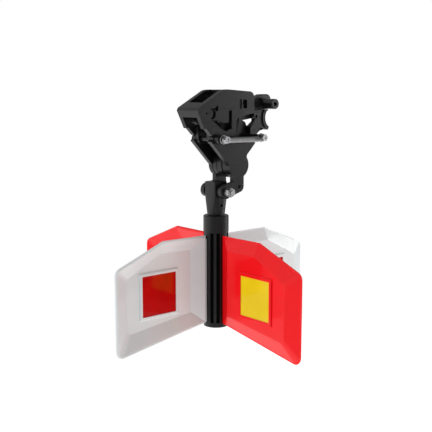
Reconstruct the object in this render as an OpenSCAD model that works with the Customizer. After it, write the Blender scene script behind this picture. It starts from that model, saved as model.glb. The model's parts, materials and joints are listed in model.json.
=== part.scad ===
// Wind-turned line marker: four dished vanes on a hub that spins under a
// sprung clamp gripping an overhead conductor. Millimetres, Z up, real size.
// (0,0,0) is the middle of the conductor seat; the conductor runs along Y.
// The drawing is made about the hub axis (X 0) and the vane root line (Z 0),
// and moved so the seat lands on the origin.

/* [Main sizes] */

// reach of a vane from the hub axis (150 to 230)
vane_reach = 190; // [150:5:230]
// height of the vane where it meets the hub (100 to 180)
vane_root_h = 141; // [100:1:180]
// height of the vane tip edge above the root line (80 to 140)
vane_tip_top = 107; // [80:1:140]
// drop of the vane tip below the root line (10 to 45)
vane_tip_drop = 28.7; // [10:0.5:45]
// outside diameter of the hub (30 to 60)
hub_d = 39; // [30:1:60]
// diameter of the conductor the seat takes (16 to 36)
conductor_d = 34; // [16:1:36]
// width over the two body plates (40 to 70)
body_w = 50; // [44:1:70]

/* [Vanes] */

// depth of the vane dish (5 to 14)
dish_depth = 9; // [5:0.5:14]
// wall of the vane moulding (1.4 to 3)
vane_t = 2; // [1.4:0.1:3]
// width of the sloped border of the dish (12 to 30)
dish_border = 23; // [12:1:30]
// corner radius of the vane tip (4 to 20)
tip_r = 11; // [4:1:20]
// side of the square reflector pane (40 to 80)
pane_w = 63; // [40:1:80]
// thickness of the reflector pane (1.5 to 4)
pane_t = 2.6; // [1.5:0.1:4]
// distance of the pane centre from the hub axis (80 to 130)
pane_r = 105; // [80:1:130]
// height of the pane centre above the root line (40 to 80)
pane_z = 58.5; // [40:0.5:80]
// width of the raised frame round the pane (2 to 8)
frame_w = 4; // [2:0.5:8]
// height of the frame over the dish floor, each side (1 to 4)
frame_up = 2.4; // [1:0.1:4]

/* [Hub and spindle] */

// diameter of the steel spindle (8 to 20)
spindle_d = 14; // [8:1:20]
// outside diameter of the nylon bushes (18 to 30)
bush_d = 24; // [18:1:30]
// height of the hub above the root line (150 to 200)
hub_h = 172; // [150:1:200]
// length of the plain collar at the hub top (15 to 40)
collar_h = 26; // [15:1:40]
// width of the grooves down the hub (3 to 8)
groove_w = 5.5; // [3:0.5:8]
// depth of the grooves down the hub (2 to 5)
groove_dp = 3.8; // [2:0.1:5]
// thickness of the tongue on the vane root (1.5 to 4)
tongue_t = 2.4; // [1.5:0.1:4]
// depth of the tongue in the hub wall (2 to 6)
tongue_dp = 4.6; // [2:0.1:6]
// side of the square neck (20 to 32)
neck_w = 25; // [20:1:32]

/* [Clamp] */

// thickness of each body plate (5 to 12)
plate_t = 8; // [5:0.5:12]
// radius of the main hinge knuckles (14 to 26)
knuckle_r = 20; // [14:0.5:26]
// thickness of the jaw plate (5 to 12)
jaw_t = 7; // [5:0.5:12]
// width of the seat liner along the conductor (16 to 40)
liner_w = 28; // [16:1:40]
// wall of the seat liner under the conductor (1.5 to 5)
liner_t = 2.5; // [1.5:0.1:5]
// width of the keeper nose (16 to 30)
keeper_w = 24; // [16:1:30]
// outside diameter of the guide tube (10 to 22)
tube_d = 16; // [10:1:22]
// bore of the guide tube (4 to 12)
tube_bore = 6.5; // [4:0.5:12]
// diameter of the main hinge pin (8 to 16)
hinge_d = 10; // [8:1:16]
// diameter of the hood pivot pin (6 to 12)
hood_pin_d = 8; // [6:0.5:12]
// diameter of the neck bolt (6 to 12)
neck_bolt_d = 8; // [6:1:12]
// wall of the hood top (4 to 10)
hood_t = 7; // [4:0.5:10]

/* [Spring] */

// outside diameter of the spring coils (6 to 12)
spring_d = 9; // [6:0.5:12]
// wire diameter of the spring (1 to 2.5)
wire_d = 1.8; // [1:0.1:2.5]
// outside diameter of the end loops (10 to 18)
loop_d = 14; // [10:0.5:18]

/* [Fits] */

// radial clearance of a running fit (0.02 to 0.1)
run_c = 0.05; // [0.02:0.01:0.1]
// side clearance of the vane tongue in its slot (0.05 to 0.3)
slot_c = 0.1; // [0.05:0.05:0.3]
// end clearance between parts that turn side by side (0.1 to 0.6)
side_c = 0.2; // [0.1:0.05:0.6]

/* [Hidden] */

seat_r = conductor_d/2;
seat_x = 109.4;
seat_z = 322.3;
hw = body_w/2;
hi = hw - plate_t;
hub_r = hub_d/2;
// joint centres in the drawing plane: [X, Z]
pe = [26, 250];     // main hinge between jaw plate and body
pp = [-19, 292];    // hood pivot and left spring post
pq = [58.5, 292.8]; // right spring post
pn = [0, 210.2];    // neck bolt
pl = [-29.5, 330.4];// latch lever pivot
pk = [50, 345];     // keeper pivot
pt = [92.7, 344.4]; // guide tube
jt2 = jaw_t/2;
kn2 = 5.6;          // half width of the jaw knuckle
wash_t = 1.8;       // hinge washers
spring_y = -40;
spool_y = -35.2;
screw_y = -43.5;
neck_bot = hub_h + 1.5;
neck_top = 225;
tip_bot = -vane_tip_drop;
floor_y = -dish_depth;

c_black = [0.16,0.16,0.17];
c_white = [0.92,0.92,0.92];
c_red = [0.90,0.08,0.10];
c_lens = [0.62,0.04,0.05];
c_yel = [0.92,0.78,0.15];
c_steel = [0.70,0.71,0.73];
c_nylon = [0.85,0.84,0.80];
c_rub = [0.10,0.10,0.10];

module seat() translate([-seat_x,0,-seat_z]) children();
// a profile drawn in X,Z and run from y0 to y1
module yp(y0, y1) translate([0,y1,0]) rotate([90,0,0]) linear_extrude(y1-y0) children();
module yc(p, r, y0, y1, fn=64)
  translate([p[0],y1,p[1]]) rotate([90,0,0]) cylinder(r=r, h=y1-y0, $fn=fn);
module zc(r, z0, z1, fn=64) translate([0,0,z0]) cylinder(r=r, h=z1-z0, $fn=fn);
module disc(p, r, fn=64) translate(p) circle(r=r, $fn=fn);

// ---------------------------------------------------------------- jaw plate
module jaw_profile() difference() {
  union() {
    disc(pe, knuckle_r-0.5, 96);
    polygon([[7,256],[40.4,294],[45.9,327],[62,334.6],[100.5,334.6],[103,331],
      [101.5,304.6],[96.5,302.8],[89.5,301],[83.4,296],[73.8,295],[66,286],[45,257]]);
  }
  disc([seat_x,seat_z], seat_r+liner_t, 96);
  polygon([[102,300],[120,300],[120,340],[104,340]]);
  polygon([[52,318.8],[79,322.6],[81.5,319.6],[67,309],[61,309.8],[58,316]]);
}
module jaw_plate() color(c_black) seat() difference() {
  union() {
    yp(-jt2, jt2) jaw_profile();
    yc(pe, knuckle_r, -kn2, kn2, 96);
    yc(pq, 7.5, -jt2-2, jt2);
  }
  yc(pe, hinge_d/2+run_c, -kn2-1, kn2+1);
  yc(pq, 3+run_c, -20, 20);
  yc([84.4,325], 2.25, -20, 20, 32);
}
module seat_liner() color(c_rub) seat() difference() {
  yc([seat_x,seat_z], seat_r+liner_t+3, -liner_w/2, liner_w/2, 96);
  yc([seat_x,seat_z], seat_r, -20, 20, 96);
  // slot that sits over the rim of the jaw plate
  difference() {
    yc([seat_x,seat_z], seat_r+liner_t+8, -jt2-0.05, jt2+0.05, 96);
    yc([seat_x,seat_z], seat_r+liner_t-0.05, -jt2-1, jt2+1, 96);
  }
  // open side, upper end and lower end
  yp(-20, 20) polygon([[seat_x,seat_z],[seat_x-60*cos(60),seat_z-60*sin(60)],
    [seat_x+60,seat_z-60],[seat_x+60,seat_z+60],[seat_x-8,seat_z+60],[seat_x-8,seat_z]]);
  yp(-20, 20) polygon([[60,335.6],[140,335.6],[140,370],[60,370]]);
}
module spool(p, y0, r) difference() {
  union() {
    yc(p, r, spool_y, y0);
    yc(p, 4.8, screw_y, spool_y+0.5);
  }
  yc(p, 3+run_c, screw_y-1, y0+1);
}
module right_spool() color(c_black) seat() spool(pq, -jt2-2, 5);
module flange_screw(p, y_end) {
  difference() {
    union() {
      yc(p, 5.8, screw_y-1.6, screw_y);
      translate([p[0],screw_y-1.5,p[1]]) rotate([90,0,0])
        cylinder(d=10/cos(30), h=4.5, $fn=6);
    }
    yc(p, 2.6, screw_y-7, screw_y-5.2, 32);
  }
  yc(p, 3, screw_y-1, y_end, 48);
}
module right_post_screw() color(c_steel) seat() flange_screw(pq, jt2+6);
module right_post_nut() color(c_steel) seat() difference() {
  translate([pq[0],jt2+5.1,pq[1]]) rotate([90,0,0]) cylinder(d=10/cos(30), h=5, $fn=6);
  yc(pq, 3+run_c, 0, 20);
}

// -------------------------------------------------------------- body plates
module plate_profile() {
  polygon([[-31,288.5],[-27.4,292],[-19,295.5],[-8,294.4],[50,290.5],[63,290.2],[65.3,288],[62.6,285.6],
    [43,266],[40,254],[36,242],[36,217],[29,208.2],[14,206],[14,236],[6,250]]);
  disc(pe, knuckle_r, 96);
  disc(pp, 8.5, 64);
  disc([27,217], 9, 48);
  disc(pn, 11, 64);
  polygon([[-2.4,221.7],[25.05,225.8],[28.95,208.2],[2.4,200.3]]);
}
// s -1 near plate, +1 far plate
module body_plate(s) {
  a = s>0 ? hi : -hw;
  b = s>0 ? hw : -hi;
  difference() {
    union() {
      yp(a, b) plate_profile();
      yc(pe, knuckle_r-0.6, s>0?kn2+wash_t+side_c/2:-hi-0.5, s>0?hi+0.5:-kn2-wash_t-side_c/2, 96);
      yc(pn, 9.4, s>0?neck_w/2+side_c/2:-hi-0.5, s>0?hi+0.5:-neck_w/2-side_c/2, 64);
    }
    yc(pn, neck_bolt_d/2+0.02, -60, 60);
    yc(pp, hood_pin_d/2+0.02, -60, 60);
    yc([27,217], 2.7, -60, 60, 32);
    if (s>0) yc(pe, hinge_d/2+0.02, 0, 60);
    else yc(pe, hinge_d/2+0.02, -hw+3, 0);
    // stiffening pocket on the inner face, clear of the hinge bosses
    yp(s>0?hi-1:-hi-2.2, s>0?hi+2.2:-hi+1)
      polygon([[-15,284],[8,262],[24,273.5],[44,276],[46,283.5],[4,287.5]]);
    // counterbore for the head of the neck bolt
    if (s>0) yc(pn, 7, hw-6.2, hw+2, 64);
    // room for the right spring post as the jaw opens
    if (s<0) yp(-hw-1, -hi+1) for (a=[0,3.6,7.2,10.8])
      translate(pe) rotate(-a) translate(pq-pe) circle(r=5.8, $fn=48);
  }
}
module near_plate() color(c_black) seat() body_plate(-1);
module far_plate() color(c_black) seat() body_plate(1);
module hinge_pin() color(c_steel) seat() {
  yc(pe, hinge_d/2, -hw+3.1, hw+1);
  yc(pe, 9, hw, hw+3, 64);
}
module hinge_washers() color(c_nylon) seat() for (s=[-1,1]) difference() {
  yc(pe, knuckle_r-7, s>0?kn2+0.05:-kn2-wash_t-0.05, s>0?kn2+wash_t+0.05:-kn2-0.05, 96);
  yc(pe, hinge_d/2+run_c, -60, 60);
}
module hood_pivot_pin() color(c_black) seat() difference() {
  union() {
    yc(pp, hood_pin_d/2, spool_y+0.3, hw+1);
    yc(pp, 7, hw, hw+3.2, 64);
  }
  yc(pp, 2.9+0.02, spool_y, -hw+4.4, 48);
}
module left_spool() color(c_black) seat() difference() {
  union() {
    yc(pp, 7, spool_y, -hw);
    yc(pp, 4.8, screw_y, spool_y+0.5);
  }
  yc(pp, hood_pin_d/2+0.02, spool_y+0.2, 0);
  yc(pp, 2.9+run_c, screw_y-1, 0, 48);
}
module left_post_screw() color(c_steel) seat() {
  difference() {
    union() {
      yc(pp, 5.8, screw_y-1.6, screw_y);
      translate([pp[0],screw_y-1.5,pp[1]]) rotate([90,0,0])
        cylinder(d=10/cos(30), h=4.5, $fn=6);
    }
    yc(pp, 2.6, screw_y-7, screw_y-5.2, 32);
  }
  yc(pp, 2.9, screw_y-1, -hw+4.2, 48);
}
module neck_bolt() color(c_steel) seat() difference() {
  union() {
    yc(pn, neck_bolt_d/2, -hw-15, hw-5);
    yc(pn, 6.5, hw-6, hw+1.5, 64);
  }
  translate([pn[0],hw+2,pn[1]]) rotate([90,0,0]) cylinder(d=6/cos(30), h=4.5, $fn=6);
}
module neck_washers() color(c_steel) seat() difference() {
  union() {
    yc(pn, 5.6, -hw-5, -hw);
    yc(pn, 7, -hw-6.2, -hw-4.9);
  }
  yc(pn, neck_bolt_d/2+run_c, -60, 60);
}
module neck_nut() color(c_steel) seat() difference() {
  union() {
    translate([pn[0],-hw-6.2,pn[1]]) rotate([90,30,0]) cylinder(d=13/cos(30), h=5.6, $fn=6);
    yc(pn, 6, -hw-13.4, -hw-11.7, 48);
  }
  yc(pn, neck_bolt_d/2+run_c, -60, 60);
}

// --------------------------------------------------------------------- hood
module hood_outline() polygon([[-57.3,335],[-56.2,338],[-54,340.2],[-8.6,365.2],
  [-4,366.4],[3,366.9],[49,364],[53.5,362.4],[56.4,359],[57.5,354],[58,330.5],
  [25.2,324.6],[20.3,320.5],[17.9,296.6],[-9.5,296.6],[-19,301.5],[-29.5,297.4],[-41,309],
  [-44,308]]);
module cheek_cuts() {
  disc(pp, 9.3, 64);
  // openings round the latch boss and along the side
  polygon([[-26.5,338],[-17,342.6],[-17,334.6],[-21,334.6],[-23.5,337]]);
  polygon([[-28.5,321.2],[-13,319.7],[4.5,319.3],[4.5,335],[10.7,335],[10.7,306.5],[5,306],
    [0,303],[-12,308.4]]);
  polygon([[33.6,338],[42,338],[42,351.4],[33.6,351.4]]);
  disc([-39.9,331], 1.6, 32);
}
module hood_shell() color(c_black) seat() difference() {
  union() {
    for (s=[-1,1]) yp(s>0?hi:-hw, s>0?hw:-hi) difference() {
      hood_outline();
      if (s<0) cheek_cuts(); else disc(pp, 9.3, 64);
    }
    // top wall and end bar between the cheeks
    yp(-hi-0.1, hi+0.1) polygon([[-57.3,335],[-56.2,338],[-54,340.2],[-8.6,365.2],[-4,366.4],
      [3,366.9],[49,364],[53.5,362.4],[55.6,359.6],[56,357],[3,366.9-hood_t],[-5,366.4-hood_t],
      [-46,334.5],[-49,325],[-52.4,325]]);
    // lugs on the pivot
    for (s=[-1,1]) {
      yp(s>0?10:-hi+side_c, s>0?hi-side_c:-10) {
        disc(pp, 8, 64);
        polygon([[-27,292],[-11,292],[-9,310],[-28,310]]);
      }
      yp(s>0?10:-hi-0.1, s>0?hi+0.1:-10) polygon([[-28,302.5],[-10,302.5],[-9,310],[-28,310]]);
    }
    // bosses for the keeper pin
    for (s=[-1,1]) yc(pk, 8, s>0?keeper_w/2+side_c:-hi-0.1, s>0?hi+0.1:-keeper_w/2-side_c);
  }
  yc(pp, hood_pin_d/2+run_c, -60, 60);
  yc(pk, 3+0.02, -hw+3, 60, 48);
  // latch pin: head bore on the near side, shank bore on the far side
  yc(pl, 8+run_c, -hw-1, -hi+1, 64);
  yc(pl, 3+run_c, 0, 60, 48);
  // window in the sloped top
  yp(-16, 16) polygon([[-41,339],[-41,352],[5.5,376],[5.5,350]]);
  // notch for the keeper
  yp(-keeper_w/2-1, keeper_w/2+1) polygon([[39,350],[39,372],[62,372],[62,350]]);
  // shallow panel on the near cheek
  yp(-hw-1, -hw+1.4) polygon([[-14,343.5],[7.5,352.2],[31,352.2],[31,337],[-14,337]]);
}
module keeper_pin() color(c_steel) seat() {
  yc(pk, 3, -hw+3.1, hw+0.5, 48);
  yc(pk, 5, hw, hw+2.4, 48);
}
module latch_lever() color(c_black) seat() difference() {
  union() {
    yc(pl, 9, -13, 13);
    yp(-6, 6) polygon([[-37,332],[-30,339],[-16,338],[6,331],[34,330],[34,322.5],
      [27,320],[4,321],[-20,323.5],[-33,322]]);
    yp(-4, 4) polygon([[-37,334],[-31,324],[-38,314],[-45,318]]);
    // hook under the tail, on a thin web
    yp(-2, 2) polygon([[0,323],[32,323],[32,310],[22,303.5],[3,303.5]]);
    yp(-15.5, 15.5) polygon([[-1.5,315.7],[15,315.7],[17,307],[13,302.5],[1,302.5]]);
  }
  yc(pl, 3+0.02, -20, 20, 48);
}
module latch_pin() color(c_black) seat() {
  difference() {
    yc(pl, 8, -hw+1.4, -hi+0.9, 64);
    yp(-hw, -hw+4.5) difference() {
      disc(pl, 7.2, 48);
      disc([pl[0]-3.4,pl[1]], 7.2, 48);
    }
  }
  yc(pl, 3, -hi, hw+0.6, 48);
  yc(pl, 5.5, hw+0.1, hw+2.2, 48);
}

// ------------------------------------------------------------------- keeper
module keeper() color(c_black) seat() difference() {
  union() {
    yc(pk, 8, -keeper_w/2, keeper_w/2);
    yc(pt, 9.8, -keeper_w/2, keeper_w/2, 64);
    yp(-keeper_w/2, keeper_w/2) polygon([[48,337.6],[62,335.9],[105,335.9],[106.6,350.5],
      [70,350.5],[50,352.9]]);
    yp(-5.5, 5.5) polygon([[76,346],[106,346],[111.4,351],[110,356.3],[107.6,357.9],
      [98,357.8],[79.5,350.6]]);
  }
  yc(pk, 3+run_c, -60, 60, 48);
  yc(pt, tube_d/2+0.02, -60, 60, 64);
  yc([seat_x,seat_z], seat_r+0.05, -60, 60, 96);
  yp(-60, 60) polygon([[66,300],[140,300],[140,335.9],[66,335.9]]);
}
module guide_tube() color(c_black) seat() difference() {
  yc(pt, tube_d/2, -keeper_w/2-24, keeper_w/2+2);
  yc(pt, tube_bore/2, -60, 60, 48);
}

// ------------------------------------------------------------------- spring
module loop(p) translate([p[0],spring_y,p[1]]) rotate([90,0,0])
  rotate_extrude($fn=48) translate([(loop_d-wire_d)/2,0]) circle(d=wire_d, $fn=20);
module extension_spring() color(c_steel) seat() {
  // the body runs a little under the posts, level with the foot of the loops
  dx = pq[0]-pp[0];
  dz = pq[1]-2.2-pp[1]+1;
  len = sqrt(dx*dx+dz*dz);
  translate([pp[0],spring_y,pp[1]-1]) rotate([0,-atan2(dz,dx),0]) {
    translate([loop_d/2-0.6,0,0]) rotate([0,90,0]) difference() {
      cylinder(d=spring_d, h=len-loop_d+1.2, $fn=48);
      translate([0,0,wire_d]) cylinder(d=spring_d-2*wire_d, h=len-loop_d+1.2-2*wire_d, $fn=48);
    }
  }
  loop(pp);
  loop(pq);
}

// --------------------------------------------------------- neck and spindle
module neck_socket() color(c_black) seat() difference() {
  hull() {
    translate([-neck_w/2+2,-neck_w/2+2,200]) for (i=[0,1], j=[0,1])
      translate([i*(neck_w-4), j*(neck_w-4), 0]) cylinder(r=2, h=neck_top-200, $fn=24);
    zc(13.8, neck_bot, neck_bot+3, 48);
  }
  zc(spindle_d/2+0.02, neck_bot-1, 199);
  // spot faces for the plate bosses
  yc(pn, 12, neck_w/2, neck_w/2+10);
  yc(pn, 12, -neck_w/2-10, -neck_w/2);
  yc(pn, neck_bolt_d/2+run_c, -60, 60);
  yc([0,188], 2.5+0.02, -60, 60, 40);
}
module spindle() color(c_steel) seat() difference() {
  zc(spindle_d/2, 3.8, 198.8);
  yc([0,188], 2.5+0.02, -60, 60, 40);
  zc(3+0.02, 0, 22, 40);
}
module spindle_cross_pin() color(c_steel) seat() yc([0,188], 2.5, -8.5, 8.5, 40);
module thrust_washer() color(c_nylon) seat() difference() {
  zc(12.6, hub_h+0.1, neck_bot);
  zc(spindle_d/2+0.02, 0, 300);
}
module retaining_washer() color(c_steel) seat() difference() {
  zc(10, 2.2, 3.8, 64);
  zc(3+run_c, 0, 10, 40);
}
module retaining_screw() color(c_steel) seat() {
  translate([0,0,-1.8]) cylinder(d=10/cos(30), h=4, $fn=6);
  zc(3, 2, 20, 40);
}

// ---------------------------------------------------------------------- hub
module hub_tube() color(c_black) seat() difference() {
  union() {
    zc(hub_r, 0, hub_h-collar_h+1, 96);
    zc(hub_r+0.5, hub_h-collar_h, hub_h-1.2, 96);
    translate([0,0,hub_h-1.2]) cylinder(r1=hub_r+0.5, r2=hub_r-0.7, h=1.2, $fn=96);
  }
  zc(bush_d/2, -1, 200, 96);
  for (q=[0:3]) rotate([0,0,90*q]) {
    translate([hub_r-tongue_dp-0.2, -tongue_t-slot_c, -1])
      cube([10, tongue_t+2*slot_c, vane_root_h-2.9]);
    for (a=[45-14.5, 45+14.5]) rotate([0,0,a])
      translate([hub_r-groove_dp, -groove_w/2, 1]) cube([10, groove_w, hub_h-collar_h-2]);
  }
}
module hub_end_cap() color(c_black) seat() difference() {
  union() {
    zc(hub_r+0.1, -6.5, 0, 96);
    zc(bush_d/2-0.02, -1, 3.4, 96);
  }
  zc(10.4, -4.6, 10, 64);
}
module bush(z0, z1) difference() {
  zc(bush_d/2, z0, z1, 96);
  zc(spindle_d/2+run_c, z0-1, z1+1);
}
module upper_bush() color(c_nylon) seat() bush(hub_h-14, hub_h);
module lower_bush() color(c_nylon) seat() bush(3.9, 18);

// -------------------------------------------------------------------- vanes
// rim and floor outlines in r, z with d the inset
module rim_pts(d, y0, y1) yp(y0, y1) polygon([
  [hub_r+0.1+d, 0+d], [hub_r+0.1+d, vane_root_h-d], [vane_reach*0.542, vane_root_h+0.5-d],
  [vane_reach-d*0.6-tip_r*0.75, vane_tip_top+tip_r*0.30-d], [vane_reach-d-tip_r*0.15, vane_tip_top-tip_r*0.30],
  [vane_reach-d, vane_tip_top-tip_r], [vane_reach-d, tip_bot+tip_r],
  [vane_reach-d-tip_r*0.22, tip_bot+tip_r*0.35+d*0.6], [vane_reach-d-tip_r*0.65, tip_bot+tip_r*0.02+d],
  [vane_reach-d-tip_r*1.1, tip_bot+tip_r*0.04+d+1.2]]);
module floor_pts(d, y0, y1) yp(y0, y1) polygon([
  [hub_r+dish_border+d, 18+d], [hub_r+dish_border+d, vane_root_h-20-d],
  [vane_reach*0.536, vane_root_h-19.5-d], [vane_reach-24-d, vane_tip_top-17.5-d*0.6],
  [vane_reach-25-d, 2.4+d]]);
module vane() {
  p2 = pane_w/2;
  fo = p2 + frame_w;
  difference() {
    union() {
      difference() {
        union() {
          rim_pts(0, -3.2, 0);
          hull() { rim_pts(0, -3.2, -3.1); floor_pts(0, floor_y, floor_y+0.1); }
        }
        hull() { rim_pts(vane_t, -3.2+vane_t, 1); floor_pts(vane_t, floor_y+vane_t, floor_y+vane_t+0.1); }
      }
      // raised frame on both faces
      translate([pane_r-fo, floor_y-frame_up, pane_z-fo]) cube([2*fo, 2*frame_up+vane_t, 2*fo]);
      // tongue in the hub wall
      translate([hub_r-tongue_dp, -tongue_t, 2]) cube([tongue_dp+2, tongue_t, vane_root_h-8]);
    }
    // rebate for the pane, open to the dish, with a lip behind
    translate([pane_r-p2-0.1, floor_y-0.6, pane_z-p2-0.1]) cube([pane_w+0.2, 20, pane_w+0.2]);
    translate([pane_r-p2+1, -30, pane_z-p2+1]) cube([pane_w-2, 40, pane_w-2]);
  }
}
module pane() translate([pane_r-pane_w/2, floor_y-0.6, pane_z-pane_w/2]) cube([pane_w, pane_t, pane_w]);
module vane_white_right() color(c_white) seat() vane();
module vane_red_back() color(c_red) seat() rotate([0,0,90]) vane();
module vane_white_left() color(c_white) seat() rotate([0,0,180]) vane();
module vane_red_front() color(c_red) seat() rotate([0,0,270]) vane();
module reflector_red_right() color(c_lens) seat() pane();
module reflector_yellow_back() color(c_yel) seat() rotate([0,0,90]) pane();
module reflector_red_left() color(c_lens) seat() rotate([0,0,180]) pane();
module reflector_yellow_front() color(c_yel) seat() rotate([0,0,270]) pane();

jaw_plate();
seat_liner();
right_spool();
right_post_screw();
right_post_nut();
near_plate();
far_plate();
hinge_pin();
hinge_washers();
hood_pivot_pin();
left_spool();
left_post_screw();
neck_bolt();
neck_washers();
neck_nut();
hood_shell();
keeper_pin();
latch_lever();
latch_pin();
keeper();
guide_tube();
extension_spring();
neck_socket();
spindle();
spindle_cross_pin();
thrust_washer();
retaining_washer();
retaining_screw();
hub_tube();
hub_end_cap();
upper_bush();
lower_bush();
vane_white_left();
vane_white_right();
vane_red_front();
vane_red_back();
reflector_red_left();
reflector_red_right();
reflector_yellow_front();
reflector_yellow_back();
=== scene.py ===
# %% [markdown]
# # A wind-turned overhead line marker
# Four dished vanes spin on a slotted hub. The hub hangs on a swivel neck from
# a sprung clamp that grips an overhead conductor. The engineering model is
# loaded first as a fixed frame. Everything after it only adds looks: better
# surfaces, real spring coils, moulded edges and finishes.

# %% Load the engineering model
import json
import math
import bmesh
import bpy
from mathutils import Matrix, Vector
from mathutils.geometry import tessellate_polygon


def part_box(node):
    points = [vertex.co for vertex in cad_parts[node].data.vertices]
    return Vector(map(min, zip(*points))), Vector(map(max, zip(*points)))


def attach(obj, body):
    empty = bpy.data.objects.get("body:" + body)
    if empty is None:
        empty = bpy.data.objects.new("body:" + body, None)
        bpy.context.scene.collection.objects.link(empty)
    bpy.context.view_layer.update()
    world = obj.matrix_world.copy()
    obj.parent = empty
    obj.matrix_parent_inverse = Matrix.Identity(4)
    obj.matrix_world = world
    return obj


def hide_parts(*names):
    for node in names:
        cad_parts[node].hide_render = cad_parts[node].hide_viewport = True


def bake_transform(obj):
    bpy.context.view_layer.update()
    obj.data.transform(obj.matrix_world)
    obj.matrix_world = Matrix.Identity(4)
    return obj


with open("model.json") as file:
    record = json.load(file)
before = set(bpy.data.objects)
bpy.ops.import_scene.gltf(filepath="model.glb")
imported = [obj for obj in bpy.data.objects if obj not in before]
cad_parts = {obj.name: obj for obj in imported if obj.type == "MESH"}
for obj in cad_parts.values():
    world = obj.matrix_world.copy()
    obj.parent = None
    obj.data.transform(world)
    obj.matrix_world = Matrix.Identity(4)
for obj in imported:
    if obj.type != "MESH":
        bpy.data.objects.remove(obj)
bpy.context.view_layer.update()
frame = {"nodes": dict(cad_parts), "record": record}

print("nodes:", len(frame["nodes"]))

# %% [markdown]
# ## Finishes
# Every finish is made of nodes, so it has the fine marks that the real
# surface has at the real scale: moulded grain, mill marks, small changes in
# gloss. The pattern is placed by object coordinates in metres, so it stays
# on the piece when the joints move.

# %% Helpers for node finishes
PLASTIC_IOR = 1.5
# about how many times a metre each pattern changes
SLOW_SCALE, PATCH_SCALE = 28.0, 160.0
MOTTLE_SCALE, MILL_SCALE = 220.0, 900.0
MILL_DEPTH = 0.00003
# a noise value is nearly always between these
NOISE_LOW, NOISE_HIGH = 0.3, 0.7


def new_finish(name, colour, roughness, metallic=0.0, coat=0.0, coat_rough=0.1,
               specular=0.5):
    """A finish with its constants on the shader's own sockets."""
    mat = bpy.data.materials.new(name)
    mat.use_nodes = True
    nodes = mat.node_tree.nodes
    shader = nodes["Principled BSDF"]
    shader.inputs["Base Color"].default_value = (*colour, 1.0)
    shader.inputs["Roughness"].default_value = roughness
    shader.inputs["Metallic"].default_value = metallic
    shader.inputs["Coat Weight"].default_value = coat
    shader.inputs["Coat Roughness"].default_value = coat_rough
    shader.inputs["Specular IOR Level"].default_value = specular
    shader.inputs["IOR"].default_value = PLASTIC_IOR
    mat.diffuse_color = (*colour, 1.0)
    return mat, nodes, mat.node_tree.links, shader


def noise(nodes, links, scale, detail):
    """A noise value from 0 to 1, fixed to the piece."""
    coord = nodes.new("ShaderNodeTexCoord")
    tex = nodes.new("ShaderNodeTexNoise")
    tex.inputs["Scale"].default_value = scale
    tex.inputs["Detail"].default_value = detail
    links.new(coord.outputs["Object"], tex.inputs["Vector"])
    return tex.outputs["Fac"]


def spread(nodes, links, value, low, high):
    """A noise value stretched to run from low to high."""
    ramp = nodes.new("ShaderNodeMapRange")
    ramp.inputs["From Min"].default_value = NOISE_LOW
    ramp.inputs["From Max"].default_value = NOISE_HIGH
    ramp.inputs["To Min"].default_value = low
    ramp.inputs["To Max"].default_value = high
    links.new(value, ramp.inputs["Value"])
    return ramp.outputs["Result"]


def mix_colours(nodes, links, value, first, second):
    """A colour between two, chosen by value."""
    mix = nodes.new("ShaderNodeMix")
    mix.data_type = "RGBA"
    mix.inputs["A"].default_value = (*first, 1.0)
    mix.inputs["B"].default_value = (*second, 1.0)
    links.new(value, mix.inputs["Factor"])
    return mix.outputs["Result"]


def grain(nodes, links, shader, height, distance):
    """A fine surface grain, distance metres deep."""
    bump = nodes.new("ShaderNodeBump")
    bump.inputs["Distance"].default_value = distance
    bump.inputs["Strength"].default_value = 1.0
    links.new(height, bump.inputs["Height"])
    links.new(bump.outputs["Normal"], shader.inputs["Normal"])


def moulded(name, dark, light, rough, grain_size, grain_depth, coat=0.0,
            coat_rough=0.1, specular=0.5):
    """Moulded plastic: slow colour change, patchy gloss and a fine grain."""
    mat, nodes, links, shader = new_finish(name, light, rough[0], coat=coat,
                                           coat_rough=coat_rough,
                                           specular=specular)
    slow = noise(nodes, links, SLOW_SCALE, 4.0)
    links.new(mix_colours(nodes, links, spread(nodes, links, slow, 0.0, 1.0),
                          dark, light), shader.inputs["Base Color"])
    patchy = noise(nodes, links, PATCH_SCALE, 5.0)
    links.new(spread(nodes, links, patchy, rough[0], rough[1]),
              shader.inputs["Roughness"])
    fine = noise(nodes, links, 1.0 / grain_size, 2.0)
    grain(nodes, links, shader, fine, grain_depth)
    return mat


def plated(name, dark, light, rough):
    """Plated or drawn steel: metal with a soft mottle and fine mill marks."""
    mat, nodes, links, shader = new_finish(name, light, rough[0], metallic=1.0)
    slow = noise(nodes, links, MOTTLE_SCALE, 4.0)
    links.new(mix_colours(nodes, links, spread(nodes, links, slow, 0.0, 1.0),
                          dark, light), shader.inputs["Base Color"])
    fine = noise(nodes, links, MILL_SCALE, 3.0)
    links.new(spread(nodes, links, fine, rough[0], rough[1]),
              shader.inputs["Roughness"])
    grain(nodes, links, shader, fine, MILL_DEPTH)
    return mat


print("slow colour change every", round(1000 / SLOW_SCALE), "mm; gloss patches every",
      round(1000 / PATCH_SCALE), "mm")

# %% [markdown]
# ## Nine finishes
# The clamp and hub are black glass-filled nylon with a rubber liner in the
# cable seat. The screws and most pins are zinc plated steel, the spring is
# bare wire, and the bushes and hinge washers are natural nylon. The vanes are
# a glossy moulded plastic, so they get a thin clear coat. A reflector is
# clear tinted plastic over a bright back, drawn here as a deep colour under a
# glass-smooth coat.

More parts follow.
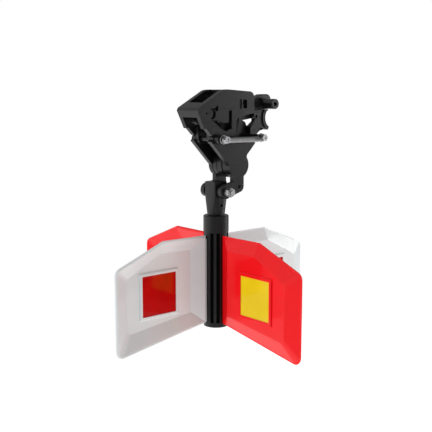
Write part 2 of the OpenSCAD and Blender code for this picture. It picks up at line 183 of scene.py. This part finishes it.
# %% Make the finishes
FINISH = {
    "black_nylon": moulded("black_nylon", (0.0055, 0.0055, 0.006),
                           (0.0085, 0.0085, 0.0090), (0.28, 0.38),
                           0.0006, 0.00002, specular=0.36),
    "black_rubber": moulded("black_rubber", (0.008, 0.008, 0.008),
                            (0.012, 0.012, 0.012), (0.50, 0.62),
                            0.0008, 0.00003, specular=0.4),
    "zinc_steel": plated("zinc_steel", (0.37, 0.37, 0.38),
                         (0.47, 0.47, 0.48), (0.34, 0.46)),
    "spring_steel": plated("spring_steel", (0.33, 0.33, 0.33),
                           (0.41, 0.41, 0.41), (0.36, 0.46)),
    "natural_nylon": moulded("natural_nylon", (0.62, 0.59, 0.52),
                             (0.72, 0.70, 0.64), (0.35, 0.5), 0.0008, 0.00002),
    "white_vane": moulded("white_vane", (0.735, 0.77, 0.775),
                          (0.78, 0.815, 0.82), (0.32, 0.42), 0.0010, 0.000004,
                          coat=0.3, coat_rough=0.05, specular=0.3),
    "red_vane": moulded("red_vane", (0.84, 0.003, 0.006),
                        (0.90, 0.004, 0.008), (0.30, 0.38), 0.0012, 0.000002,
                        coat=0.35, coat_rough=0.03, specular=0.12),
    "red_lens": moulded("red_lens", (0.44, 0.002, 0.002),
                        (0.54, 0.003, 0.003), (0.20, 0.28), 0.0030, 0.000004,
                        coat=0.5, coat_rough=0.01, specular=0.05),
    "yellow_lens": moulded("yellow_lens", (0.76, 0.52, 0.006),
                           (0.84, 0.60, 0.010), (0.20, 0.28), 0.0030, 0.000004,
                           coat=0.4, coat_rough=0.02, specular=0.1),
}
print("finishes:", len(FINISH))

# %% [markdown]
# ## Engineering parts kept as they are
# The plates, the hood, the hub and the pins already have their true shape, so
# they stay. A moulding has no knife edge, though: each one gets a small
# rounded edge from a Bevel modifier, and weighted normals keep its flats flat.

# %% Round the edges of the engineering parts
# reach in metres, angles in degrees
WELD_REACH = 0.000004
FLAT_ANGLE = 0.6
EDGE_ANGLE = 32.0
EDGE_STEPS = 2
PART_WEIGHT = 80
PLAIN_EDGE_MM = 0.3
record = frame["record"]
slot_of = {row["node"]: row["material_slot"] for row in record["subparts"]}


def soften(part, width):
    """A rounded edge on an engineering part, by modifiers only."""
    for face in part.data.polygons:
        face.use_smooth = True
    weld = part.modifiers.new("weld", "WELD")
    weld.merge_threshold = WELD_REACH
    flat = part.modifiers.new("flat_faces", "DECIMATE")
    flat.decimate_type = "DISSOLVE"
    flat.angle_limit = math.radians(FLAT_ANGLE)
    edge = part.modifiers.new("edge", "BEVEL")
    edge.width = width
    edge.segments = EDGE_STEPS
    edge.limit_method = "ANGLE"
    edge.angle_limit = math.radians(EDGE_ANGLE)
    edge.harden_normals = True
    edge.use_clamp_overlap = True
    weight = part.modifiers.new("weight", "WEIGHTED_NORMAL")
    weight.keep_sharp = True
    weight.weight = PART_WEIGHT


EDGE_MM = {"near_plate": 0.7, "far_plate": 0.7, "jaw_plate": 0.6,
           "hood_shell": 0.9, "keeper": 0.8, "hub_tube": 0.35}
for node_name, part in frame["nodes"].items():
    part.data.materials.clear()
    part.data.materials.append(FINISH[slot_of[node_name]])
    soften(part, EDGE_MM.get(node_name, PLAIN_EDGE_MM) / 1000)
print("softened:", len(frame["nodes"]))

# %% [markdown]
# ## Painted shade in the hub grooves
# The grooves down the hub are deep and narrow, and shade falls in them. Their
# walls and floors get a duller, darker black than the turned outside, as
# painted shade. Only the choice of material changes.

# %% Give the groove walls a black of painted shade
# a darker, duller black, painted shade for the inside of the deep grooves
FINISH["groove_painted_shade"] = moulded("groove_painted_shade", (0.0012, 0.0012, 0.0012),
                                 (0.002, 0.002, 0.002), (0.75, 0.9),
                                 0.0006, 0.00002, specular=0.08)
# a groove face lies between the bore and the turned outside, and stands up
BORE_R, SKIN_R = 0.0125, 0.0190
UPRIGHT = 0.5
hub = frame["nodes"]["hub_tube"]
hub_low, hub_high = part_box("hub_tube")
HUB_X = (hub_low.x + hub_high.x) / 2
hub.data.materials.append(FINISH["groove_painted_shade"])
in_groove = 0
# each groove face gets the painted-shade black
for face in hub.data.polygons:
    off_axis = math.hypot(face.center.x - HUB_X, face.center.y)
    if BORE_R < off_axis < SKIN_R and abs(face.normal.z) < UPRIGHT:
        face.material_index = 1
        in_groove += 1
print("groove faces:", in_groove)

# %% [markdown]
# ## Building blocks for new pieces
# The drawing of the marker is made in millimetres about the hub axis and the
# root line of the vanes, at the foot of the hub. Two numbers move it into the
# shared frame, whose origin is the middle of the conductor seat. A new piece
# is drawn as rings of points, one behind the other, with a skin between them.

# %% Units, the hub axis and a mesh maker
MM = 0.001
PIECE_WEIGHT = 70
ROOT_Z = hub_low.z
print("hub axis x:", round(HUB_X, 4), "root line z:", round(ROOT_Z, 4))


def place(x, y, z):
    """A point of the drawing, in millimetres, moved to the shared frame."""
    return Vector((HUB_X + x * MM, y * MM, ROOT_Z + z * MM))


def add_piece(name, mesh, finish, body, replaces=()):
    """A new piece with its finish, its body and the parts it stands for."""
    piece = bpy.data.objects.new(name, mesh)
    bpy.context.scene.collection.objects.link(piece)
    mesh.materials.append(FINISH[finish])
    for face in mesh.polygons:
        face.use_smooth = True
    if body:
        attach(piece, body)
    if replaces:
        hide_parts(*replaces)
    return piece


def join_rings(work, first, second):
    """A skin between two rings that have the same number of points."""
    for i in range(len(first)):
        j = (i + 1) % len(first)
        work.faces.new((first[i], first[j], second[j], second[i]))


def fill_between(work, rings, outlines):
    """A flat face inside the first ring, less what the second one holds."""
    flat = [[Vector((x, z, 0.0)) for x, z in outline] for outline in outlines]
    every = [point for ring in rings for point in ring]
    for corners in tessellate_polygon(flat):
        work.faces.new([every[k] for k in corners])


def finished_mesh(work, name):
    """Turns the work in hand into a mesh and lets go of it."""
    mesh = bpy.data.meshes.new(name)
    work.to_mesh(mesh)
    work.free()
    return mesh


def weighted(piece):
    """Normals that follow the large faces, so that flats stay flat."""
    weight = piece.modifiers.new("weight", "WEIGHTED_NORMAL")
    weight.keep_sharp = True
    weight.weight = PIECE_WEIGHT


# %% [markdown]
# ## Outlines with round corners
# A vane is a moulded dish: one outline at the rim, a smaller one at the
# floor. If both have the same number of points, corner for corner, a skin
# can be drawn straight between them and no face is twisted.

# %% Pull an outline in and round its corners
def inset(corners, step):
    """Moves every edge of a convex outline inwards by step."""
    count = len(corners)
    moved = []
    for i in range(count):
        before, here, after = (Vector(corners[i - 1]), Vector(corners[i]),
                               Vector(corners[(i + 1) % count]))
        edge_in = (here - before).normalized()
        edge_out = (after - here).normalized()
        side_in = Vector((edge_in.y, -edge_in.x))
        side_out = Vector((edge_out.y, -edge_out.x))
        middle = (side_in + side_out).normalized()
        moved.append(here + middle * (step / middle.dot(side_in)))
    return moved


def round_corners(corners, radii, steps=7):
    """The outline with each corner turned into an arc of steps + 1 points."""
    count = len(corners)
    ring = []
    for i in range(count):
        before, here, after = (Vector(corners[i - 1]), Vector(corners[i]),
                               Vector(corners[(i + 1) % count]))
        to_before = (before - here).normalized()
        to_after = (after - here).normalized()
        half = to_before.angle(to_after) / 2
        reach = radii[i] / math.tan(half)
        centre = here + (to_before + to_after).normalized() * (radii[i] / math.sin(half))
        start = here + to_before * reach - centre
        end = here + to_after * reach - centre
        turn = start.angle_signed(end)
        for k in range(steps + 1):
            a = -turn * k / steps
            ring.append(centre + Vector((
                start.x * math.cos(a) - start.y * math.sin(a),
                start.x * math.sin(a) + start.y * math.cos(a))))
    return ring


square = [(0.0, 0.0), (0.0, 10.0), (10.0, 10.0), (10.0, 0.0)]
print("a 10 mm square pulled in by 1 mm:",
      [tuple(round(c, 1) for c in p) for p in inset(square, 1.0)])
print("points round it with round corners:", len(round_corners(square, [2.0] * 4)))

# %% [markdown]
# ## The vanes
# Each vane is a shallow dish moulded in one piece: a thin lip, a sloped
# border, a flat floor and a raised window frame that holds the reflector.
# The two skins are drawn ring by ring from the frame, over the lip and back
# to the frame, so the vane is one closed shell with a real wall thickness.

# %% Outline of the vane, in millimetres from the hub axis and the root line
RIM = [(19.6, 0.0), (19.6, 141.0), (103.0, 141.5), (190.0, 107.0),
       (190.0, -28.7)]
RIM_RADII = [1.2, 1.2, 9.0, 12.0, 12.0]
FLOOR = [(42.0, 18.0), (42.0, 121.0), (102.0, 122.0), (166.0, 89.5),
         (165.0, 2.4)]
FLOOR_RADII = [1.5, 1.5, 6.0, 9.0, 7.0]
PANE_MIDDLE = (105.0, 58.5)
PANE_HALF = 31.5
FRAME_HALF = 35.5
FLOOR_FRONT, FLOOR_BACK = -11.0, -13.0
# rings of the window frame from the pane outwards: half side, corner, depth
FRONT_FRAME = [(PANE_HALF - 0.05, 0.6, -10.6), (PANE_HALF - 0.05, 0.6, -9.0),
               (PANE_HALF + 0.45, 0.8, -8.6), (FRAME_HALF - 0.5, 0.8, -8.6),
               (FRAME_HALF + 0.2, 1.0, -9.0), (FRAME_HALF + 1.5, 1.6, -10.6),
               (FRAME_HALF + 2.2, 2.2, FLOOR_FRONT)]
# and on the back, from the outside inwards
BACK_FRAME = [(FRAME_HALF + 0.5, 1.2, FLOOR_BACK), (FRAME_HALF + 0.1, 1.0, -13.3),
              (FRAME_HALF, 1.0, -14.7), (FRAME_HALF - 0.5, 0.8, -15.2),
              (PANE_HALF - 0.6, 0.8, -15.2), (PANE_HALF - 1.0, 0.6, -14.8),
              (PANE_HALF - 1.0, 0.6, -14.35), (PANE_HALF - 0.05, 0.6, -14.32)]
# rings of the rolled lip, from the front to the back: step inwards, depth
LIP_RINGS = [(3.0, 0.0), (1.9, -0.2), (0.9, -0.7), (0.25, -1.5), (0.0, -2.4),
             (0.1, -3.0), (0.6, -3.2)]
LEAST_RIM_RADIUS = 0.4
# where each sloped border starts: step inwards from the rim, depth
FRONT_START = (3.6, -0.35)
BACK_START = (1.2, -3.2)
# the floor outline moves inwards by this share of the same step
FLOOR_SHARE = 0.6
TONGUE = [(15.1, 2.0), (15.1, 135.0), (21.0, 135.0), (21.0, 2.0)]
TONGUE_DEPTHS = (-0.2, -2.3)
# the share of the slope on each side of a bend that its fillet takes
FILLET = 0.03
print("vane height mm:", RIM[2][1] - RIM[4][1], "reach mm:", RIM[3][0])

# %% [markdown]
# ## The slope of the dish
# A moulded dish has no sharp bend where its border meets the lip or the floor.
# The sloped border is drawn as rings between the rim and the floor. They lie
# close together at both ends, where a small fillet turns the slope, and far
# apart on the straight slope between, so no face is spent where it is flat.

# %% Shape the border and the square of the pane
SQUARE_STEPS = 3


def ramp_height(u):
    """0 to 1 along the sloped border, with a small fillet at each end."""
    if u < FILLET:
        return (u + FILLET) ** 2 / (4 * FILLET)
    if u <= 1 - FILLET:
        return u
    return 1 - (1 + FILLET - u) ** 2 / (4 * FILLET)


def square_ring(half, corner):
    """A square outline with round corners, about the middle of the pane."""
    x, z = PANE_MIDDLE
    corners = [(x - half, z - half), (x - half, z + half),
               (x + half, z + half), (x + half, z - half)]
    return round_corners(corners, [corner] * 4, SQUARE_STEPS)


print("border starts at", ramp_height(-FILLET), "and ends at", ramp_height(1 + FILLET))


# %% Draw one vane
def vane_mesh(name, turn):
    """One vane as a closed shell, swung by turn degrees about the hub."""
    work = bmesh.new()
    swing = Matrix.Rotation(math.radians(turn), 4, "Z")

    def ring_at(points, depth):
        return [work.verts.new(place(*(swing @ Vector((x, depth, z)))))
                for x, z in points]

    def join_all(rings, inwards=False):
        for a, b in zip(rings, rings[1:]):
            join_rings(work, *((b, a) if inwards else (a, b)))

    def rim_points(step):
        return round_corners(inset(RIM, step),
                             [max(r - step, LEAST_RIM_RADIUS) for r in RIM_RADII])

    def border(start, bottom):
        """Rings of the sloped border from the rim down to the floor."""
        step, top = start
        rim = rim_points(step)
        low = round_corners(inset(FLOOR, step * FLOOR_SHARE), FLOOR_RADII)
        rings = []
        for u in (-FILLET, -FILLET / 3, FILLET / 3, FILLET,
                  1 - FILLET, 1 - FILLET / 3, 1 + FILLET / 3, 1 + FILLET):
            t = (u + FILLET) / (1 + 2 * FILLET)
            points = [a.lerp(b, t) for a, b in zip(rim, low)]
            rings.append(ring_at(points, top + (bottom - top) * ramp_height(u)))
        return rings, points

    def frame_rings(table):
        """Rings of the window frame, and the outline of each."""
        outlines = [square_ring(half, corner) for half, corner, _ in table]
        return [ring_at(points, row[2]) for points, row in zip(outlines, table)], outlines

    # the dish side: window frame, floor and border
    front_frame, squares = frame_rings(FRONT_FRAME)
    join_all(front_frame)
    front, floor_edge = border(FRONT_START, FLOOR_FRONT)
    fill_between(work, (front[-1], front_frame[-1]), (floor_edge, squares[-1]))
    join_all(front[::-1], inwards=True)
    # the lip
    lips = [ring_at(rim_points(step), depth) for step, depth in LIP_RINGS]
    join_all([front[0]] + lips, inwards=True)
    # the back: border, floor and window frame
    back, floor_edge = border(BACK_START, FLOOR_BACK)
    join_all([lips[-1]] + back, inwards=True)
    back_frame, squares = frame_rings(BACK_FRAME)
    fill_between(work, (back[-1], back_frame[0]), (floor_edge, squares[0]))
    join_all(back_frame, inwards=True)
    join_rings(work, front_frame[0], back_frame[-1])
    # the tongue that sits in the slot of the hub wall
    near_side, far_side = [ring_at(TONGUE, depth) for depth in TONGUE_DEPTHS]
    join_rings(work, far_side, near_side)
    work.faces.new(near_side)
    work.faces.new(far_side[::-1])
    bmesh.ops.recalc_face_normals(work, faces=work.faces)
    return finished_mesh(work, name)


def sharpen(piece, angle):
    """Marks the creases of a moulding, so that its flats shade flat."""
    work = bmesh.new()
    work.from_mesh(piece.data)
    for edge in work.edges:
        if (len(edge.link_faces) == 2
                and edge.calc_face_angle(0.0) > math.radians(angle)):
            edge.smooth = False
    work.to_mesh(piece.data)
    work.free()


print("rings in the lip and the two window frames:",
      len(LIP_RINGS) + len(FRONT_FRAME) + len(BACK_FRAME))

# %% [markdown]
# ## Four vanes from one mould
# The four vanes are one moulding in two colours, a quarter turn apart, so
# they come from one maker. Each stands for the plainer vane of the
# engineering model and turns with the hub.

# %% Make the four vanes
CREASE = 28
for node_name, turn in (("vane_white_right", 0), ("vane_red_back", 90),
                        ("vane_white_left", 180), ("vane_red_front", 270)):
    mesh = vane_mesh(node_name + "_dish", turn)
    dish = add_piece(node_name + "_dish", mesh, slot_of[node_name], "rotor",
                     replaces=(node_name,))
    sharpen(dish, CREASE)
    weighted(dish)
    print(node_name, "faces:", len(mesh.polygons))

# %% [markdown]
# ## The reflectors
# A reflector is a square moulded pane with a rounded edge and a shallow step
# round its field, so it catches a thin line of light. It is drawn as square
# rings, like the window frame, and both faces are closed flat.

# %% Make the four reflectors
# rings of the pane, from the back to the front: half side, depth
PANE_RINGS = [(29.6, -14.0), (29.9, -14.25), (31.1, -14.25), (31.35, -14.0),
              (31.35, -9.5), (31.1, -9.25), (29.9, -9.25), (29.6, -9.45)]
PANE_CORNER = 0.5


def pane_mesh(name, turn):
    """A square pane with a shallow step round its field, on both faces."""
    work = bmesh.new()
    swing = Matrix.Rotation(math.radians(turn), 4, "Z")
    rows = []
    for half, depth in PANE_RINGS:
        rows.append([work.verts.new(place(*(swing @ Vector((x, depth, z)))))
                     for x, z in square_ring(half, PANE_CORNER)])
    for a, b in zip(rows, rows[1:]):
        join_rings(work, b, a)
    work.faces.new(rows[0])
    work.faces.new(rows[-1][::-1])
    bmesh.ops.recalc_face_normals(work, faces=work.faces)
    return finished_mesh(work, name)


for node_name, turn in (("reflector_red_right", 0), ("reflector_yellow_back", 90),
                        ("reflector_red_left", 180), ("reflector_yellow_front", 270)):
    pane = add_piece(node_name + "_pane", pane_mesh(node_name + "_pane", turn),
                     slot_of[node_name], "rotor", replaces=(node_name,))
    sharpen(pane, CREASE)
    weighted(pane)
print("reflector side:", round(2 * max(half for half, _ in PANE_RINGS), 1), "mm")

# %% [markdown]
# ## The cheek of the jaw, the lip and the keeper's hump
# The jaw is as wide as the cable seat, so its near side is one flat cheek
# flush with the seat, with a small hole through it. It is a flat outline
# pulled into a plate, with the hole cut by filling between the two loops.
# The thin lip that stands behind the spring and the hump on the keeper's back
# are plates of the same kind, so one maker draws all three.

# %% Outline of each plate, and the two depths that it lies between
CHEEK = [(61.6, 306.0), (71.9, 321.2), (69.0, 326.2), (68.7, 335.3), (98.6, 335.3),
         (102.6, 334.8), (98.8, 333.2), (95.6, 330.8), (93.8, 328.4), (92.6, 323.4),
         (92.4, 319.6), (93.0, 316.4), (95.0, 313.2), (97.7, 310.6), (98.1, 307.9),
         (95.7, 304.6), (88.1, 306.7), (84.4, 306.2), (81.3, 304.6), (73.4, 296.4),
         (68.0, 292.2), (61.6, 294.0)]
CHEEK_HOLE = ((74.6, 324.6), 2.3)
CHEEK_NEAR, CHEEK_FAR = -12.0, -5.2
LIP = [(4.0, 286.0), (4.0, 299.0), (6.0, 301.0), (31.0, 300.2), (31.0, 286.0)]
LIP_NEAR, LIP_FAR = -16.85, -15.6
HUMP = [(66.0, 346.0), (74.4, 352.1), (89.7, 359.0), (91.9, 359.6), (103.1, 359.9),
        (106.3, 358.8), (109.2, 356.4), (111.2, 352.0), (111.2, 346.0)]
HUMP_NEAR, HUMP_FAR = -7.0, 7.0
print("corners of the cheek, lip and hump:", len(CHEEK), len(LIP), len(HUMP))

# %% Pull an outline into a plate
HOLE_POINTS = 24
LEVEL_ANGLE = 0.01
PLATE_EDGE_ANGLE = 40


def plate_mesh(name, outline, hole, near, far):
    """A flat plate between two depths, with one round hole if it is given."""
    work = bmesh.new()
    loops = [outline]
    if hole:
        (hole_x, hole_z), hole_r = hole
        round_steps = [math.tau * k / HOLE_POINTS for k in range(HOLE_POINTS)]
        loops.append([(hole_x + hole_r * math.cos(a), hole_z + hole_r * math.sin(a))
                      for a in round_steps])
    rows = []
    for depth in (near, far):
        rows.append([[work.verts.new(place(x, depth, z)) for x, z in loop]
                     for loop in loops])
    for side_rings in rows:
        fill_between(work, side_rings, loops)
    for near_ring, far_ring in zip(*rows):
        join_rings(work, near_ring, far_ring)
    bmesh.ops.recalc_face_normals(work, faces=work.faces)
    bmesh.ops.dissolve_limit(work, angle_limit=LEVEL_ANGLE, verts=work.verts,
                             edges=work.edges)
    return finished_mesh(work, name)


print("points round a hole:", HOLE_POINTS)

# %% Make the three moulded plates
for name, outline, hole, near, far, body, width in (
        ("jaw_cheek", CHEEK, CHEEK_HOLE, CHEEK_NEAR, CHEEK_FAR, "jaw", 0.5),
        ("spring_side_lip", LIP, None, LIP_NEAR, LIP_FAR, "body", 0.3),
        ("keeper_hump", HUMP, None, HUMP_NEAR, HUMP_FAR, "keeper", 0.9)):
    plate = add_piece(name, plate_mesh(name, outline, hole, near, far),
                      "black_nylon", body)
    round_edge = plate.modifiers.new("edge", "BEVEL")
    round_edge.width = width * MM
    round_edge.segments = EDGE_STEPS
    round_edge.limit_method = "ANGLE"
    round_edge.angle_limit = math.radians(PLATE_EDGE_ANGLE)
    round_edge.harden_normals = True
    weighted(plate)
    print(name, "thickness mm:", round(far - near, 1))

# %% [markdown]
# ## The extension spring
# A real spring is one wire: a loop round the left post, a close-wound body
# and a loop round the right post. The wire is drawn as a round tube swept
# along that path.

# %% Sweep a round wire along a path
WIRE_SIDES = 8


def tube_mesh(name, path, radius):
    """A round tube along a path, closed at both ends."""
    work = bmesh.new()
    normal = None
    rows = []
    for i, here in enumerate(path):
        along = (path[min(i + 1, len(path) - 1)] - path[max(i - 1, 0)]).normalized()
        if normal is None:
            normal = along.orthogonal().normalized()
        normal = (normal - along * normal.dot(along)).normalized()
        other = along.cross(normal)
        rows.append([work.verts.new(here + radius * (
            math.cos(math.tau * k / WIRE_SIDES) * normal
            + math.sin(math.tau * k / WIRE_SIDES) * other)) for k in range(WIRE_SIDES)])
    for a, b in zip(rows, rows[1:]):
        join_rings(work, a, b)
    work.faces.new(rows[0][::-1])
    work.faces.new(rows[-1])
    return finished_mesh(work, name)


print("sides of the wire:", WIRE_SIDES)

# %% Measure the line between the two posts
def middle(node):
    """The middle of a node's box."""
    low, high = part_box(node)
    return (low + high) / 2


spring_y = middle("extension_spring").y
left_post = middle("left_spool")
right_post = middle("right_post_nut")
left_post.y = right_post.y = spring_y
print("posts at:", [round(c, 4) for c in left_post], [round(c, 4) for c in right_post])
along = (right_post - left_post).normalized()
upward = Vector((-along.z, 0.0, along.x))
side = Vector((0.0, 1.0, 0.0))
span = (right_post - left_post).length
print("between the posts, mm:", round(span / MM, 1))

# %% [markdown]
# ## Winding the wire
# The body is wound close, so each turn is just over one wire thick. Its axis
# lies a little under the line between the posts, and drops towards the right.
# Each loop is most of a circle that ends where the body begins.

# %% Wind the spring between its posts
WIRE_R = 0.9 * MM
COIL_R = 3.6 * MM
LOOP_R = 6.1 * MM
END_GAP = 6.6 * MM
LEFT_DROP, RIGHT_DROP = 1.0 * MM, 2.2 * MM
PITCH_IN_RADII = 2.04
PER_TURN = 18
LOOP_STEPS = 24
LOOP_LEAN = 0.5
FREE_END, BODY_END = 322, 40
body_start, body_end = END_GAP, span - END_GAP
turns = int((body_end - body_start) / (PITCH_IN_RADII * WIRE_R))


def loop_points(centre, facing, first, last):
    """An end loop between two angles, leaning a little to one side."""
    points = []
    for k in range(LOOP_STEPS + 1):
        a = math.radians(first + (last - first) * k / LOOP_STEPS)
        lean = LOOP_LEAN * WIRE_R * (k / LOOP_STEPS - 0.5)
        points.append(centre + facing * LOOP_R * math.cos(a)
                      + upward * LOOP_R * math.sin(a) + side * lean)
    return points


coil = []
for k in range(turns * PER_TURN + 1):
    a = math.tau * k / PER_TURN
    reach = body_start + (body_end - body_start) * k / (turns * PER_TURN)
    drop = LEFT_DROP + (RIGHT_DROP - LEFT_DROP) * reach / span
    coil.append(left_post + along * reach + upward * (COIL_R * math.cos(a) - drop)
                + side * COIL_R * math.sin(a))
left_loop = loop_points(left_post, along, FREE_END, BODY_END)
right_loop = loop_points(right_post, -along, BODY_END, FREE_END)
wire = tube_mesh("extension_spring_wire", left_loop + coil + right_loop, WIRE_R)
spring = add_piece("extension_spring_wire", wire, "spring_steel", None,
                   replaces=("extension_spring",))
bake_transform(spring)
print("spring turns:", turns)

# %% [markdown]
# ## Camera
# The marker is seen from its front left, a little above the vanes. That shows
# the hollow side of a white vane, the back of a red one and the spring side of
# the clamp. A fairly long lens from over a metre away keeps the plates from
# looking tapered.

# %% Camera
CAMERA_FROM_SEAT = Vector((-0.92317, -0.95434, 0.03740))
SENSOR_MM, LENS_MM = 36.0, 67.083
LOOK_DOWN, LOOK_ROUND = 8.606, -40.4543
camera_data = bpy.data.cameras.new("studio_camera")
camera_data.sensor_width = SENSOR_MM
camera_data.lens = LENS_MM
camera = bpy.data.objects.new("studio_camera", camera_data)
camera.location = CAMERA_FROM_SEAT
camera.rotation_euler = (math.radians(90 - LOOK_DOWN), 0, math.radians(LOOK_ROUND))
bpy.context.scene.collection.objects.link(camera)
bpy.context.scene.camera = camera
print("camera from the seat, m:", round(CAMERA_FROM_SEAT.length, 3))

# %% [markdown]
# ## Light and floor
# A glossy black moulding shows mostly what it mirrors, so the room matters
# more than the lamps. The room is a dim, pale shell that grows brighter low
# down on the camera's left, and only the camera sees it as plain white. A
# large soft lamp on the left and a smaller one low in front light the faces
# but are not mirrored in them. The lamp on the right lifts the far vanes. A
# small pale floor that glows a little fills the dishes from below, as a light
# table does.

# %% The room
HIGH_LIGHT = 0.34
LOW_LIGHT = 0.75
BRIGHT_SIDE = Vector((-0.64, 0.75, 0.0)).normalized()
# The extra light fades out as a direction rises from nearly level to nearly
# straight up, and comes in as it turns towards the bright side.
FADE_UP = (0.1, 0.95)
FADE_ROUND = (0.25, 0.95)
world = bpy.data.worlds.new("studio")
bpy.context.scene.world = world
world.use_nodes = True
room = world.node_tree.nodes
wires = world.node_tree.links
bpy.context.scene.view_settings.view_transform = "Standard"


def room_math(kind, first, second):
    """One sum on two values, each a number or another node's result."""
    step = room.new("ShaderNodeMath")
    step.operation = kind
    for socket, value in zip(step.inputs, (first, second)):
        if isinstance(value, (int, float)):
            socket.default_value = value
        else:
            wires.new(value, socket)
    return step.outputs[0]


def room_step(value, low, high):
    """A soft step from 0 at low to 1 at high."""
    step = room.new("ShaderNodeMapRange")
    step.interpolation_type = "SMOOTHSTEP"
    step.inputs["From Min"].default_value = low
    step.inputs["From Max"].default_value = high
    wires.new(value, step.inputs["Value"])
    return step.outputs["Result"]


direction = room.new("ShaderNodeTexCoord").outputs["Generated"]
split = room.new("ShaderNodeSeparateXYZ")
wires.new(direction, split.inputs[0])
across = room.new("ShaderNodeVectorMath")
across.operation = "DOT_PRODUCT"
across.inputs[1].default_value = BRIGHT_SIDE
wires.new(direction, across.inputs[0])
lowness = room_math("SUBTRACT", 1.0, room_step(split.outputs["Z"], *FADE_UP))
brightness = room_math("ADD", HIGH_LIGHT, room_math(
    "MULTIPLY", room_math("MULTIPLY", LOW_LIGHT, lowness),
    room_step(across.outputs["Value"], *FADE_ROUND)))
seen = room.new("ShaderNodeLightPath").outputs["Is Camera Ray"]
strength = room_math("MAXIMUM", brightness, seen)
room["Background"].inputs["Color"].default_value = (1, 1, 1, 1)
wires.new(strength, room["Background"].inputs["Strength"])
print("room light, high and low:", HIGH_LIGHT, LOW_LIGHT)


# %% Lamps
AIM = Vector((HUB_X, 0.0, -0.15))


def soft_light(name, location, size, power, mirrored=True):
    """A round soft lamp, size metres across, aimed at the marker's middle."""
    data = bpy.data.lights.new(name, "AREA")
    data.shape = "DISK"
    data.size = size
    data.energy = power
    lamp = bpy.data.objects.new(name, data)
    lamp.location = location
    beam = AIM - Vector(location)
    lamp.rotation_euler = beam.to_track_quat("-Z", "Y").to_euler()
    lamp.visible_glossy = mirrored
    bpy.context.scene.collection.objects.link(lamp)
    print(name, "at", round(beam.length, 2), "m, watts:", power)


soft_light("left_lamp", (-1.95, 0.3, 0.8), 0.9, 18, mirrored=False)
soft_light("right_lamp", (2.2, -1.1, 0.1), 1.0, 24)
soft_light("low_front_lamp", (0.2, -1.7, -0.65), 0.8, 6, mirrored=False)

# %% Floor
FLOOR_Z = -0.75
FLOOR_REACH = 1.1
FLOOR_GLOW = 0.64
corners = [(x * FLOOR_REACH, y * FLOOR_REACH, FLOOR_Z)
           for x, y in ((-1, -1), (1, -1), (1, 1), (-1, 1))]
floor_mesh = bpy.data.meshes.new("floor")
floor_mesh.from_pydata(corners, [], [(0, 1, 2, 3)])
floor = bpy.data.objects.new("floor", floor_mesh)
bpy.context.scene.collection.objects.link(floor)
floor_finish, *_, floor_shader = new_finish("floor_paper", (0.9, 0.9, 0.9), 0.9)
floor_shader.inputs["Emission Color"].default_value = (1, 1, 1, 1)
floor_shader.inputs["Emission Strength"].default_value = FLOOR_GLOW
floor_mesh.materials.append(floor_finish)
print("floor is", round(-FLOOR_Z, 2), "m under the seat")
